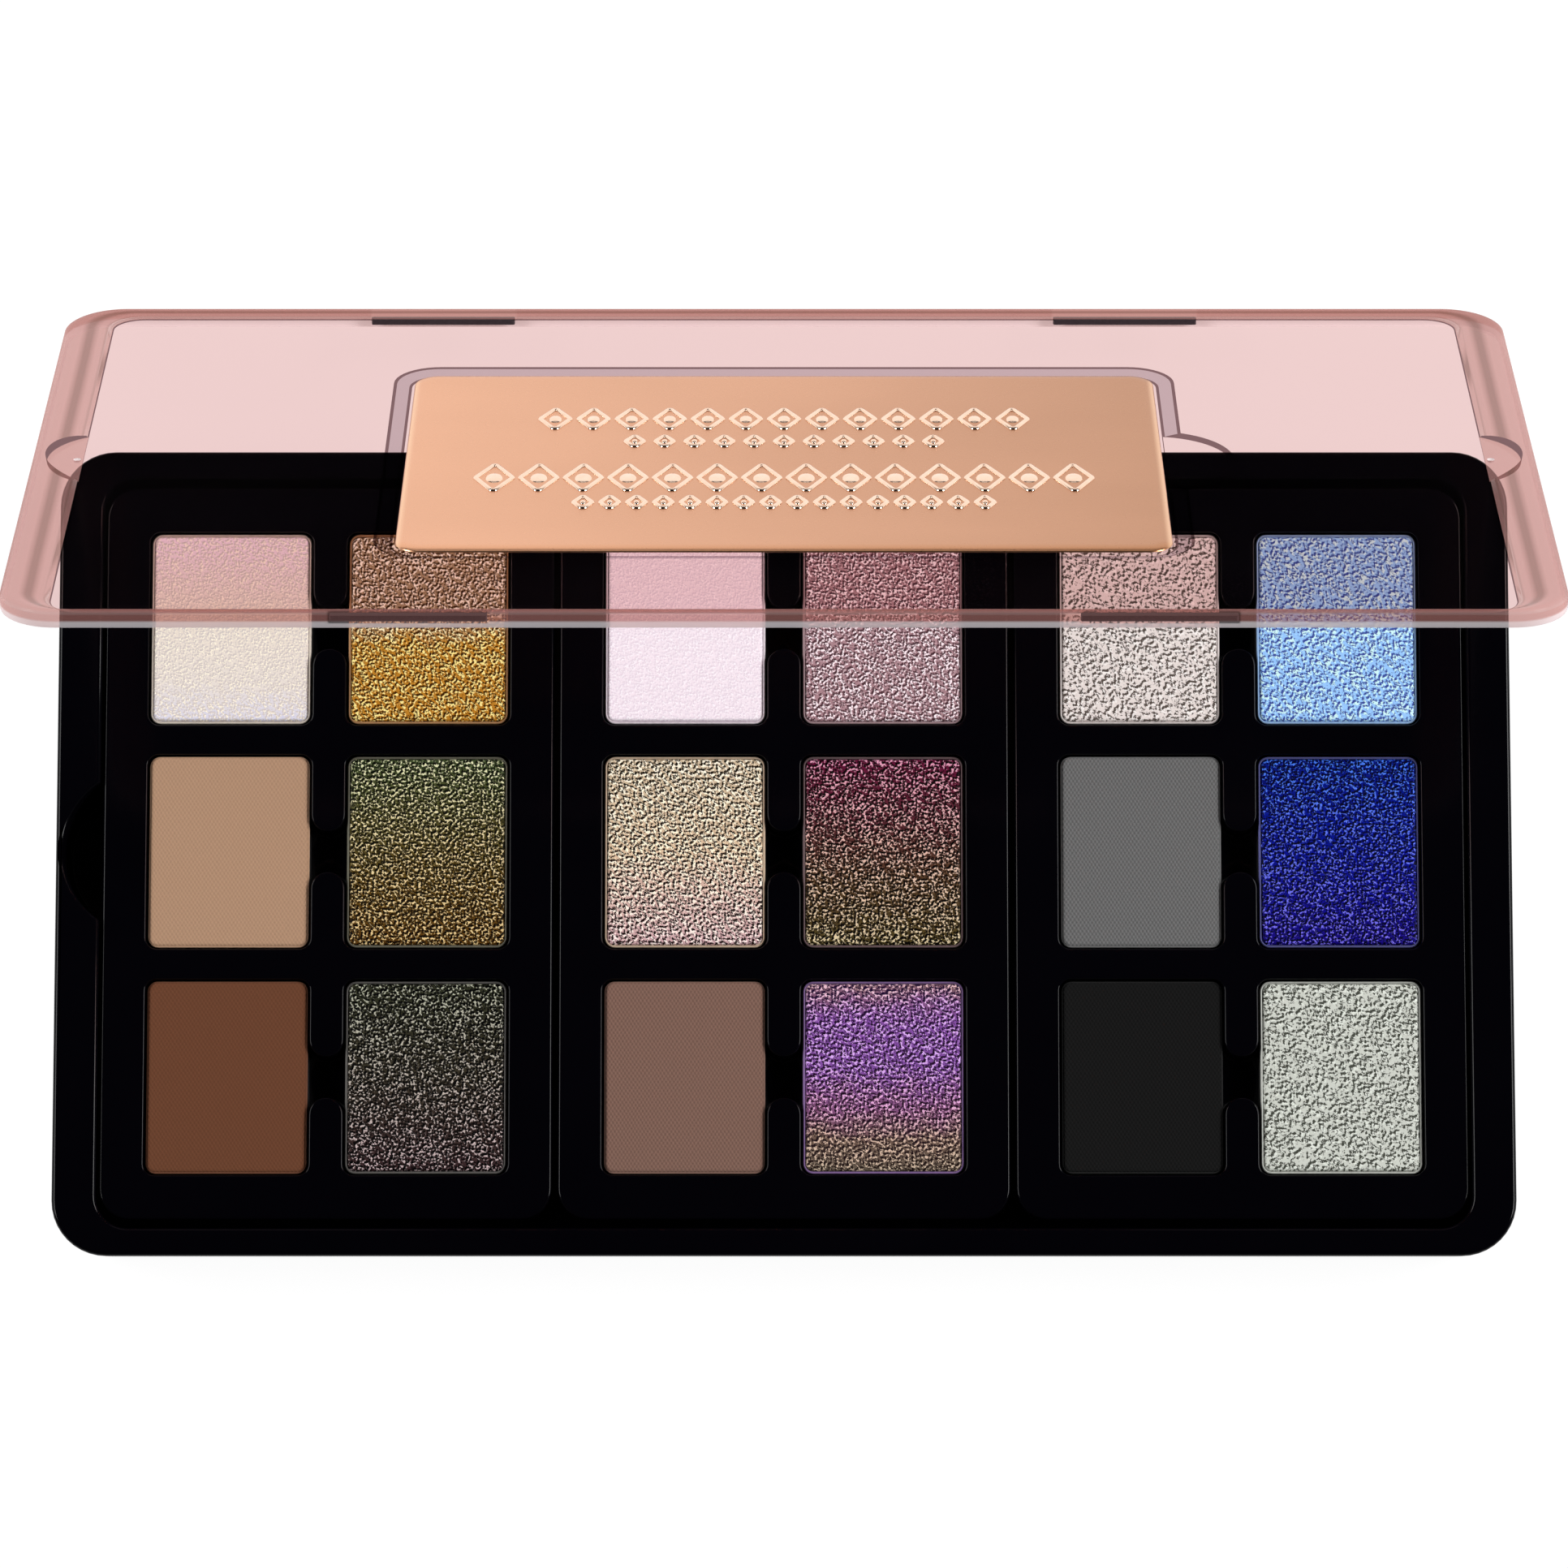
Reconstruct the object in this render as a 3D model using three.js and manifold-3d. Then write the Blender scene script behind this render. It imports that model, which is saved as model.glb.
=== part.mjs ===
// Eyeshadow palette: a shallow gloss-black base with three lift-out inserts, each carrying six
// magnetic pans of pressed powder, and a clear tinted lid that is held open above the base.
// Millimetres. +Z is up, -Y is the front, and the origin is the middle of the base's underside.
import * as THREE from "three";
import { mergeVertices } from "three/addons/utils/BufferGeometryUtils.js";
import Module from "manifold-3d";

const wasm = await Module();
wasm.setup();

// ---- driving dimensions ------------------------------------------------------------------

const WIDTH = 210; // base and lid share one outline
const DEPTH = 117;
const CORNER = 8;
const TOUCH = 0.05; // air left between two pieces that rest on each other

const COVER = { height: 2.6, edge: 2.2 };

const TRAY = { bottom: COVER.height + TOUCH, rim: 15, edge: 1.2, draft: 0.4 };
const WELL = { width: 197.4, depth: 109, corner: 4.7, floor: 4.3, edge: 0.5 };
const SCOOP = { radius: 12, x: -92 }; // half-moon for a fingertip, in the left wall only

const STEEL = { width: 180, depth: 92, thick: 0.4, corner: 3 };
const BASE_MAGNET = { width: 20, depth: 2, height: 5, x: 50, y: 56.4, top: 12.6, slack: 0.3 };

const INSERT = { width: 63.3, depth: 104.8, corner: 3.7, pitch: 65.8, top: 14.2, edge: 0.6 };
INSERT.bottom = WELL.floor + STEEL.thick + TOUCH;
const POCKET = { width: 24.2, depth: 28.8, corner: 1.6, drop: 5 }; // one pan's well
const HOLLOW = { width: 59.3, depth: 100.8, corner: 2.2, skin: 1.4 }; // under the wells
const NOTCH = { halfWidth: 2.3, end: 2.2, halfLength: 3.2 }; // gap in the bar between two pans
const COLUMNS = [-14.3, 14.3];
const ROWS = [32.6, 0, -32.7];
const SHEET = { width: 58.5, depth: 100, thick: 0.8, corner: 2 };

const PAN = { width: 23.2, depth: 27.8, corner: 1.3, height: 4.2, wall: 0.35, foot: 0.4 };
const CAKE = { gap: 0.05, proud: 0.15, edge: 0.5 };

const LID = { thick: 2.8, edge: 0.9, panel: 1.3, panelWidth: 196.6, panelDepth: 112.3, corner: 4.6 };
const LID_TILT = 58.27; // degrees that the front edge is raised
const LID_BACK = 50.97; // middle of the lid's outer face, behind the middle of the base
const LID_UP = 40.43; // and above its rim
const LID_MAGNET = { width: 21, depth: 1.2, height: 0.8, up: 0.8, x: 50, y: 57.2, slack: 0.2 };
const SIDE_RECESS = { radius: 10.1, x: 93.2 };
const DIMPLE = { radius: 0.9, depth: 0.4, x: 98.4 };

const PLATE = { width: 106, depth: 67.8, corner: 3.5, thick: 0.6, proud: 0.1, edge: 0.3 };
const PLATE_POCKET = { width: 112, depth: 74, corner: 6.5, floor: 2.05 }; // below the lid's face
const PLATE_RECESS = { radius: 11.6, x: 52 };
const DISC = { radius: 5, thick: 0.3, bore: 5.3, recess: 0.4 };

const CORNER_STEPS = 4; // straight steps in a quarter-round corner

// ---- materials ---------------------------------------------------------------------------

const material = (color, roughness, metalness, extra = {}) =>
  new THREE.MeshStandardMaterial({ color, roughness, metalness, ...extra });

const BLACK = material(0x08080a, 0.12, 0);
const STEEL_GREY = material(0x8c8f93, 0.4, 1);
const MAGNET_GREY = material(0x3a3438, 0.45, 0.6);
const SHEET_BROWN = material(0x2b2624, 0.8, 0);
const PAN_METAL = material(0xb9b6b2, 0.35, 1);
const CLEAR = material(0xecccca, 0.05, 0, { transparent: true, opacity: 0.35 });
const ROSE_GOLD = material(0xe0b092, 0.35, 1);

const CAKE_COLORS = {
  left: [0xe6ddd8, 0xd08c50, 0xad8c6e, 0x7a7440, 0x69412a, 0x5a4c42],
  centre: [0xdcd8e0, 0xa8787c, 0xd8b0a0, 0x604038, 0x876959, 0x6c5c70],
  right: [0xb8aea4, 0xa8b0cc, 0x646464, 0x3c4a96, 0x121212, 0xbec8be],
};

// ---- shape tools -------------------------------------------------------------------------

// The outline of a rounded rectangle, counter-clockwise from its right-hand side.
function roundedOutline(width, depth, corner, inset = 0) {
  const r = Math.max(corner - inset, 0.15);
  const cx = width / 2 - inset - r;
  const cy = depth / 2 - inset - r;
  const points = [];
  const signs = [[1, 1], [-1, 1], [-1, -1], [1, -1]];
  signs.forEach(([sx, sy], quarter) => {
    for (let i = 0; i <= CORNER_STEPS; i++) {
      const a = (quarter + i / CORNER_STEPS) * (Math.PI / 2);
      points.push(new THREE.Vector2(sx * cx + r * Math.cos(a), sy * cy + r * Math.sin(a)));
    }
  });
  return points;
}

// A closed body swept round a rounded rectangle. Its profile is a list of [inset, z]: it starts
// at the bottom face, climbs the outside, and may turn inwards and down again, as a cup does.
function swept({ width, depth, corner }, profile) {
  const rings = profile.map(([inset]) => roundedOutline(width, depth, corner, inset));
  const count = rings[0].length;
  const positions = rings.flatMap((ring, k) => ring.flatMap((p) => [p.x, p.y, profile[k][1]]));
  const faces = [];
  for (let k = 0; k + 1 < rings.length; k++)
    for (let i = 0; i < count; i++) {
      const [a, b] = [k * count + i, k * count + ((i + 1) % count)];
      faces.push(a, b, b + count, a, b + count, a + count);
    }
  const top = (rings.length - 1) * count;
  for (const [i, j, k] of THREE.ShapeUtils.triangulateShape(rings[0], []))
    faces.push(k, j, i);
  for (const [i, j, k] of THREE.ShapeUtils.triangulateShape(rings.at(-1), []))
    faces.push(top + i, top + j, top + k);
  return new THREE.BufferGeometry()
    .setAttribute("position", new THREE.Float32BufferAttribute(positions, 3))
    .setIndex(faces);
}

// A quarter-round edge as profile points, from the side of a body over to its top face.
function roundedTop(edge, top, steps = 3, inset = 0) {
  return Array.from({ length: steps + 1 }, (_, i) => {
    const a = (i / steps) * (Math.PI / 2);
    return [inset + edge * (1 - Math.cos(a)), top - edge * (1 - Math.sin(a))];
  });
}

// A plain upright block with a rounded-rectangle outline, from one height to another.
function block(size, low, high, x = 0, y = 0) {
  return swept(size, [[0, low], [0, high]]).translate(x, y, 0);
}

// An upright round plug, used as a cutter and for the disc magnet.
function plug(radius, low, high, x = 0, y = 0, segments = 36) {
  return new THREE.CylinderGeometry(radius, radius, high - low, segments)
    .rotateX(Math.PI / 2)
    .translate(x, y, (low + high) / 2);
}

function solid(geometry) {
  const bare = geometry.clone();
  bare.deleteAttribute("normal");
  bare.deleteAttribute("uv");
  const merged = mergeVertices(bare, 1e-4);
  return new wasm.Manifold(
    new wasm.Mesh({
      numProp: 3,
      vertProperties: merged.attributes.position.array,
      triVerts: new Uint32Array(merged.index.array),
    }),
  );
}

function cut(geometry, ...cutters) {
  const result = cutters.reduce((body, c) => body.subtract(solid(c)), solid(geometry));
  const mesh = result.getMesh();
  return new THREE.BufferGeometry()
    .setAttribute("position", new THREE.BufferAttribute(mesh.vertProperties, 3))
    .setIndex(new THREE.BufferAttribute(mesh.triVerts, 1));
}

function addMesh(parent, name, geometry, look) {
  const mesh = new THREE.Mesh(geometry, look);
  mesh.name = name;
  geometry.computeVertexNormals();
  parent.add(mesh);
  return mesh;
}

const SIDES = { left: -1, right: 1 };
const FACES = { front: -1, back: 1 };

// ---- base --------------------------------------------------------------------------------

// The lower shell: a flat plate whose bottom edge is rounded.
function bottomCover() {
  const rise = roundedTop(COVER.edge, COVER.edge).map(([inset, z]) => [inset, COVER.edge - z]);
  return swept({ width: WIDTH, depth: DEPTH, corner: CORNER }, [
    ...rise.reverse(),
    [0, COVER.height],
  ]);
}

// The upper shell: one big well with a wall round it, and the magnets' pockets under the wall.
function baseTray() {
  const body = swept({ width: WIDTH, depth: DEPTH, corner: CORNER }, [
    [TRAY.draft, TRAY.bottom],
    ...roundedTop(TRAY.edge, TRAY.rim),
  ]);
  const well = swept(WELL, [
    [0, WELL.floor],
    [0, TRAY.rim - WELL.edge],
    [-WELL.edge, TRAY.rim + TOUCH],
  ]);
  const scoop = plug(SCOOP.radius, WELL.floor, TRAY.rim + 1, SCOOP.x, 0);
  const pockets = baseMagnetPlaces().map(({ x, y }) =>
    block(
      {
        width: BASE_MAGNET.width + BASE_MAGNET.slack,
        depth: BASE_MAGNET.depth + BASE_MAGNET.slack,
        corner: 0.3,
      },
      TRAY.bottom - 1,
      BASE_MAGNET.top + TOUCH,
      x,
      y,
    ),
  );
  return cut(body, well, scoop, ...pockets);
}

function baseMagnetPlaces() {
  return magnetPlaces(BASE_MAGNET.x, BASE_MAGNET.y);
}

// Four places, two in the front wall and two in the back one, with their names.
function magnetPlaces(x, y) {
  return Object.entries(FACES).flatMap(([face, fy]) =>
    Object.entries(SIDES).map(([side, sx]) => ({ at: face + "_" + side, x: sx * x, y: fy * y })),
  );
}

function addBase(parent) {
  addMesh(parent, "base_bottom_cover", bottomCover(), BLACK);
  addMesh(parent, "base_tray", baseTray(), BLACK);
  const sheetLow = WELL.floor + TOUCH / 2;
  addMesh(parent, "base_steel_sheet", block(STEEL, sheetLow, sheetLow + STEEL.thick), STEEL_GREY);
  const size = { ...BASE_MAGNET, corner: 0.25 };
  for (const { at, x, y } of baseMagnetPlaces()) {
    const bar = block(size, BASE_MAGNET.top - BASE_MAGNET.height, BASE_MAGNET.top, x, y);
    addMesh(parent, "base_magnet_" + at, bar, MAGNET_GREY);
  }
}

// ---- inserts, pans and cakes -------------------------------------------------------------

// The gap between two pans of a row: straight sides, and a half-round end on each stub of the bar.
function fingerNotch(y, low, high) {
  const { halfWidth, end, halfLength } = NOTCH;
  const reach = halfLength + end;
  const shape = new THREE.Shape();
  shape.moveTo(halfWidth, -reach);
  shape.lineTo(halfWidth, reach);
  shape.lineTo(end, reach);
  shape.absarc(0, reach, end, 0, Math.PI, true);
  shape.lineTo(-halfWidth, reach);
  shape.lineTo(-halfWidth, -reach);
  shape.lineTo(-end, -reach);
  shape.absarc(0, -reach, end, Math.PI, 0, true);
  return new THREE.ExtrudeGeometry(shape, {
    depth: high - low,
    bevelEnabled: false,
    curveSegments: 6,
  }).translate(0, y, low);
}

// One insert about its own middle: six wells and three notches above, one shallow hollow below.
function insertTray() {
  const { top, bottom, edge } = INSERT;
  const floor = top - POCKET.drop;
  const body = swept(INSERT, [[0, bottom], ...roundedTop(edge, top)]);
  const wells = ROWS.flatMap((y) => COLUMNS.map((x) => block(POCKET, floor, top + 1, x, y)));
  const notches = ROWS.map((y) => fingerNotch(y, floor, top + 1));
  const hollow = block(HOLLOW, bottom - 1, floor - HOLLOW.skin);
  return cut(body, ...wells, ...notches, hollow);
}

// A pressed-metal pan about its own middle, open at the top.
function panCup(low) {
  const { wall, height, foot } = PAN;
  return swept(PAN, [
    [foot, low],
    [0, low + foot],
    [0, low + height],
    [wall, low + height],
    [wall, low + wall],
  ]);
}

// The pressed powder, filling the pan and standing a little proud of its lip.
function cakeBlock(low) {
  const inset = PAN.wall + CAKE.gap;
  const top = low + PAN.height + CAKE.proud;
  const size = {
    width: PAN.width - 2 * inset,
    depth: PAN.depth - 2 * inset,
    corner: PAN.corner - PAN.wall,
  };
  return swept(size, [[0, low + PAN.wall + TOUCH], ...roundedTop(CAKE.edge, top, 1)]);
}

function addInsert(parent, side, x) {
  const insert = new THREE.Group();
  insert.position.x = x;
  parent.add(insert);
  addMesh(insert, "insert_" + side, insertTray(), BLACK);
  const floor = INSERT.top - POCKET.drop;
  const sheetTop = floor - HOLLOW.skin - TOUCH;
  const sheet = block(SHEET, sheetTop - SHEET.thick, sheetTop);
  addMesh(insert, "insert_magnet_sheet_" + side, sheet, SHEET_BROWN);
  ROWS.forEach((py, row) =>
    COLUMNS.forEach((px, column) => {
      const place = new THREE.Group();
      place.position.set(px, py, 0);
      insert.add(place);
      const cell = `${side}_${row + 1}${"ab"[column]}`;
      const color = CAKE_COLORS[side][row * COLUMNS.length + column];
      addMesh(place, "pan_" + cell, panCup(floor + TOUCH), PAN_METAL);
      addMesh(place, "cake_" + cell, cakeBlock(floor + TOUCH), material(color, 0.7, 0));
    }),
  );
}

// ---- lid ---------------------------------------------------------------------------------

// The lid about its own middle, with its outer face at z = 0 and its underside below.
function lidShell() {
  const { thick, edge, panel } = LID;
  const slope = 0.3;
  const body = swept({ width: WIDTH, depth: DEPTH, corner: CORNER }, [
    [0.5, -thick],
    [0, 0.5 - thick],
    ...roundedTop(edge, 0),
  ]);
  const face = swept({ width: LID.panelWidth, depth: LID.panelDepth, corner: LID.corner }, [
    [slope, -panel],
    [0, TOUCH],
    [0, 1],
  ]);
  const pocket = swept(PLATE_POCKET, [
    [0.8, -PLATE_POCKET.floor],
    [0, -panel],
    [0, 1],
  ]);
  const thumb = plug(PLATE_RECESS.radius, -PLATE_POCKET.floor, 1, PLATE_RECESS.x);
  const sides = Object.values(SIDES).flatMap((s) => [
    plug(SIDE_RECESS.radius, -panel, 1, s * SIDE_RECESS.x),
    plug(DIMPLE.radius, -panel - DIMPLE.depth, 1, s * DIMPLE.x, 0, 12),
  ]);
  const slots = magnetPlaces(LID_MAGNET.x, LID_MAGNET.y).map(({ x, y }) =>
    block(
      {
        width: LID_MAGNET.width + 2 * LID_MAGNET.slack,
        depth: LID_MAGNET.depth + 2 * LID_MAGNET.slack,
        corner: 0.5,
      },
      -thick - 1,
      -thick + LID_MAGNET.up + LID_MAGNET.height + LID_MAGNET.slack,
      x,
      y,
    ),
  );
  const discBore = plug(DISC.bore, -thick - 1, -thick + DISC.recess + LID_MAGNET.slack / 2, 0, 0, 24);
  return cut(body, face, pocket, thumb, ...sides, ...slots, discBore);
}

function mixingPlate() {
  const top = PLATE.proud - LID.panel;
  return swept(PLATE, [[0, top - PLATE.thick], ...roundedTop(PLATE.edge, top, 2)]);
}

function addLid(parent) {
  const lid = new THREE.Group();
  lid.position.set(0, LID_BACK, TRAY.rim + LID_UP);
  lid.rotation.x = THREE.MathUtils.degToRad(-LID_TILT);
  parent.add(lid);
  addMesh(lid, "lid_shell", lidShell(), CLEAR);
  const low = LID_MAGNET.up - LID.thick;
  for (const { at, x, y } of magnetPlaces(LID_MAGNET.x, LID_MAGNET.y)) {
    const bar = block({ ...LID_MAGNET, corner: 0.3 }, low, low + LID_MAGNET.height, x, y);
    addMesh(lid, "lid_magnet_" + at, bar, MAGNET_GREY);
  }
  addMesh(lid, "mixing_plate", mixingPlate(), ROSE_GOLD);
  const discLow = LID_MAGNET.slack / 2 - LID.thick;
  addMesh(lid, "plate_magnet", plug(DISC.radius, discLow, discLow + DISC.thick, 0, 0, 24), MAGNET_GREY);
}

// ---- assembly ----------------------------------------------------------------------------

const palette = new THREE.Group();
addBase(palette);
["left", "centre", "right"].forEach((side, i) => addInsert(palette, side, (i - 1) * INSERT.pitch));
addLid(palette);

export default palette;
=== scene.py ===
# Eyeshadow palette: gloss black base, three lift-out inserts of pressed-powder pans, and a clear
# pink-tinted lid with a rose-gold mixing plate, held open above the base.
import math

import bmesh
import bpy
from mathutils import Matrix, Vector, geometry


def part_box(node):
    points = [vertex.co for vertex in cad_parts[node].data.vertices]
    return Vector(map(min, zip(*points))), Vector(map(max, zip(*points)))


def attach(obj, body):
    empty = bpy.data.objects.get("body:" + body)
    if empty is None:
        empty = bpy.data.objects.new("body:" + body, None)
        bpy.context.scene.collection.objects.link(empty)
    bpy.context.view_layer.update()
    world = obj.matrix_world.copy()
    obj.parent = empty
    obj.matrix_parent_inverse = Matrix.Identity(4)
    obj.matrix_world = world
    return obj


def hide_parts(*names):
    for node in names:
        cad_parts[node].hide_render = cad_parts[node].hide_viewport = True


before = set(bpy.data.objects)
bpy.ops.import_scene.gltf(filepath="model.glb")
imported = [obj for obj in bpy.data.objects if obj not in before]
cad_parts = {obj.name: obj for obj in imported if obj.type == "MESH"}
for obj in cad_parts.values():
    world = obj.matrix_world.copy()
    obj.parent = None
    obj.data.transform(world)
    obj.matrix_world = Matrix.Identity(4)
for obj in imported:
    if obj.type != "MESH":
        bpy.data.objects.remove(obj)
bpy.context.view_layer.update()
scene = bpy.context.scene
MM = 0.001


# ---- Lower shell --------------------------------------------------------------------------
# The underside of the case: a shallow moulded plate with a rolled lower edge, welded under the
# tray. Injection-moulded black plastic with a mirror polish, shared by the tray and the inserts.

class Signal:
    """A socket of a node tree that Python's operators work on: each operator adds a Math node."""

    def __init__(self, nodes, socket):
        self.nodes, self.socket = nodes, socket

    def maths(self, operation, *others, swapped=False, clamped=False):
        terms = (*others, self) if swapped else (self, *others)
        settings = {"operation": operation, "use_clamp": clamped}
        return self.nodes.add("ShaderNodeMath", settings, dict(enumerate(terms)))

    def __add__(self, other):
        return self.maths("ADD", other)

    def __sub__(self, other):
        return self.maths("SUBTRACT", other)

    def __rsub__(self, other):
        return self.maths("SUBTRACT", other, swapped=True)

    def __mul__(self, other):
        return self.maths("MULTIPLY", other)

    def __truediv__(self, other):
        return self.maths("DIVIDE", other)

    def __abs__(self):
        return self.maths("ABSOLUTE")

    __radd__, __rmul__ = __add__, __mul__

    def other(self, index):
        """Another output of the node that this socket belongs to."""
        return Signal(self.nodes, self.socket.node.outputs[index])

    def clipped(self):
        return self.maths("ADD", 0.0, clamped=True)

    def ramp(self, low, high):
        """0 below low, 1 above high, and a smooth step between."""
        inputs = {"Value": self, "From Min": low, "From Max": high}
        return self.nodes.add("ShaderNodeMapRange", {"interpolation_type": "SMOOTHSTEP"}, inputs)


class Nodes:
    """A node tree being written: one method adds any node, sets it up and wires its sockets."""

    def __init__(self, tree):
        self.tree = tree

    def add(self, kind, settings=None, inputs=None, output=0):
        node = self.tree.nodes.new(kind)
        for key, value in (settings or {}).items():
            if key == "stops":
                self.set_stops(node.color_ramp, value)
            else:
                setattr(node, key, value)
        for key, value in (inputs or {}).items():
            self.feed(node.inputs[key], value)
        return Signal(self, node.outputs[output])

    def set_stops(self, ramp, stops):
        while len(ramp.elements) < len(stops):
            ramp.elements.new(1.0)
        for element, (position, color) in zip(ramp.elements, stops):
            element.position = position
            element.color = color if len(color) == 4 else (*color, 1.0)

    def feed(self, socket, value):
        if isinstance(value, Signal):
            self.tree.links.new(value.socket, socket)
        else:
            socket.default_value = value

    def parts(self, vector):
        """The X, Y and Z of a vector, as three signals."""
        first = self.add("ShaderNodeSeparateXYZ", None, {0: vector})
        return [first.other(index) for index in range(3)]

    def vector(self, x, y, z):
        return self.add("ShaderNodeCombineXYZ", None, {0: x, 1: y, 2: z})


class Finish(Nodes):
    """A surface material: its Principled shader's sockets are fed by name."""

    def __init__(self, name, **sockets):
        self.material = bpy.data.materials.new(name)
        self.material.use_nodes = True
        super().__init__(self.material.node_tree)
        self.shader = self.tree.nodes["Principled BSDF"]
        self.output = self.tree.nodes["Material Output"]
        self.set(**sockets)

    def set(self, **sockets):
        named = {socket.name.lower().replace(" ", "_"): socket for socket in self.shader.inputs}
        for name, value in sockets.items():
            self.feed(named[name], value)

    def place(self, stretch=(1.0, 1.0, 1.0)):
        """Object coordinates in millimetres, so that a texture's scale is per millimetre."""
        place = self.add("ShaderNodeTexCoord", None, None, "Object")
        scale = tuple(s / MM for s in stretch)
        settings = {"operation": "MULTIPLY"}
        return self.add("ShaderNodeVectorMath", settings, {0: place, 1: scale})

    def noise(self, place, scale, detail=2.0, roughness=0.5):
        inputs = {"Vector": place, "Scale": scale, "Detail": detail, "Roughness": roughness}
        return self.add("ShaderNodeTexNoise", None, inputs)

    def cells(self, place, scale):
        """How far each point lies from the nearest of many scattered centres."""
        return self.add("ShaderNodeTexVoronoi", None, {"Vector": place, "Scale": scale}, "Distance")

    def mix(self, factor, first, second):
        """Two colours mixed; a plain colour is three numbers."""
        first, second = [c if isinstance(c, Signal) else (*c, 1.0) for c in (first, second)]
        inputs = {0: factor, 6: first, 7: second}
        return self.add("ShaderNodeMix", {"data_type": "RGBA"}, inputs, 2)

    def bump(self, height, distance, strength=1.0):
        """A normal tilted by a height pattern; the distance is its full relief in millimetres."""
        inputs = {"Height": height, "Distance": distance * MM, "Strength": strength}
        return self.add("ShaderNodeBump", None, inputs)


def black_plastic():
    look = Finish("gloss black plastic", specular_ior_level=0.12, ior=1.5)
    place = look.place()
    flow = look.noise(place, 0.05, 3.0)
    grain = look.noise(place, 6.0, 2.0)
    look.set(
        base_color=look.mix(flow, (0.0006, 0.0005, 0.0012), (0.0012, 0.0010, 0.0020)),
        roughness=0.07 + flow * 0.05 + grain * 0.02,
        normal=look.bump(flow + grain * 0.004, 0.05),
    )
    return look.material


BLACK = black_plastic()


def arc(x, y, radius, start, end, steps):
    """Points along a round stretch, angles in degrees."""
    angles = [math.radians(start + (end - start) * i / steps) for i in range(steps + 1)]
    return [(x + radius * math.cos(a), y + radius * math.sin(a)) for a in angles]


def rounded_outline(width, depth, corner, inset=0.0, middle=(0.0, 0.0), steps=10):
    """A rounded rectangle, counter-clockwise, pulled in by inset; the corner never vanishes."""
    radius = max(corner - inset, 0.12)
    x, y = width / 2 - inset - radius, depth / 2 - inset - radius
    points = []
    for quarter, (sx, sy) in enumerate(((1, 1), (-1, 1), (-1, -1), (1, -1))):
        centre = middle[0] + sx * x, middle[1] + sy * y
        points += arc(*centre, radius, 90 * quarter, 90 * quarter + 90, steps)
    return points


def roll(start, end, steps=5):
    """A quarter-round edge between two (inset, height) points: it leaves upright, ends level."""
    (a, low), (b, high) = start, end
    turns = [math.pi / 2 * i / steps for i in range(steps + 1)]
    return [(a + (b - a) * (1 - math.cos(t)), low + (high - low) * math.sin(t)) for t in turns]


class Moulding:
    """A closed body gathered from rings of points, in millimetres."""

    def __init__(self):
        self.points, self.faces, self.values = [], [], []

    def ring(self, outline, height, value=0.0):
        first = len(self.points)
        self.points += [(x, y, height) for x, y in outline]
        self.values += [value] * len(outline)
        return list(range(first, len(self.points)))

    def rings(self, outline, profile):
        """One ring for each (inset, height) of the profile, each joined to the one before."""
        made = [self.ring(outline(inset), height) for inset, height in profile]
        for lower, upper in zip(made, made[1:]):
            self.bridge(lower, upper)
        return made

    def bridge(self, lower, upper, slot=0):
        count = len(lower)
        for i in range(count):
            j = (i + 1) % count
            self.faces.append(((lower[i], lower[j], upper[j], upper[i]), slot))

    def cover(self, outer, *holes, slot=0):
        """A flat face inside one ring, open where the other rings are."""
        loops = [outer, *holes]
        flat = [index for loop in loops for index in loop]
        corners = [[Vector(self.points[index]) for index in loop] for loop in loops]
        for triangle in geometry.tessellate_polygon(corners):
            self.faces.append((tuple(flat[i] for i in triangle), slot))

    def mesh(self, name, materials, attribute=None):
        """The body as a mesh in metres; the rings' values can go with it as an attribute."""
        mesh = bpy.data.meshes.new(name)
        mesh.from_pydata(self.points, [], [face for face, _ in self.faces])
        mesh.polygons.foreach_set("material_index", [slot for _, slot in self.faces])
        for material in materials:
            mesh.materials.append(material)
        if attribute:
            mesh.attributes.new(attribute, "FLOAT", "POINT").data.foreach_set("value", self.values)
        mesh.transform(Matrix.Scale(MM, 4))
        tidy_normals(mesh)
        return mesh


def tidy_normals(mesh, crease=50.0):
    """Faces turned outwards, smooth shading with creases at the sharp edges."""
    work = bmesh.new()
    work.from_mesh(mesh)
    bmesh.ops.recalc_face_normals(work, faces=work.faces)
    work.to_mesh(mesh)
    work.free()
    mesh.shade_smooth()
    mesh.set_sharp_from_angle(angle=math.radians(crease))


def stand(name, mesh, body, slot, *nodes):
    """Puts a finished mesh in the scene as a piece of a body, in the place of its CAD nodes."""
    piece = bpy.data.objects.new(name, mesh)
    scene.collection.objects.link(piece)
    if nodes:
        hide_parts(*nodes)
    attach(piece, body)
    return piece


def size_of(*nodes):
    """The box round CAD nodes, in millimetres: its middle, its size, its low and high corners."""
    boxes = [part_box(node) for node in nodes]
    low = Vector(min(b[0][i] for b in boxes) for i in range(3)) / MM
    high = Vector(max(b[1][i] for b in boxes) for i in range(3)) / MM
    return (low + high) / 2, high - low, low, high


CASE_CORNER = 8.0
FOOT_ROLL = 2.0
HOLD = 0.15  # a narrow flat strip beside each rolled edge keeps the flat face's shading flat
PARTING = 0.18  # the fine groove where two shells meet
TAPER = 0.95  # the walls lean in towards the foot

_, case, case_low, cover_high = size_of("base_bottom_cover")


def case_outline(inset):
    return rounded_outline(case.x, case.y, CASE_CORNER, inset)


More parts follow.
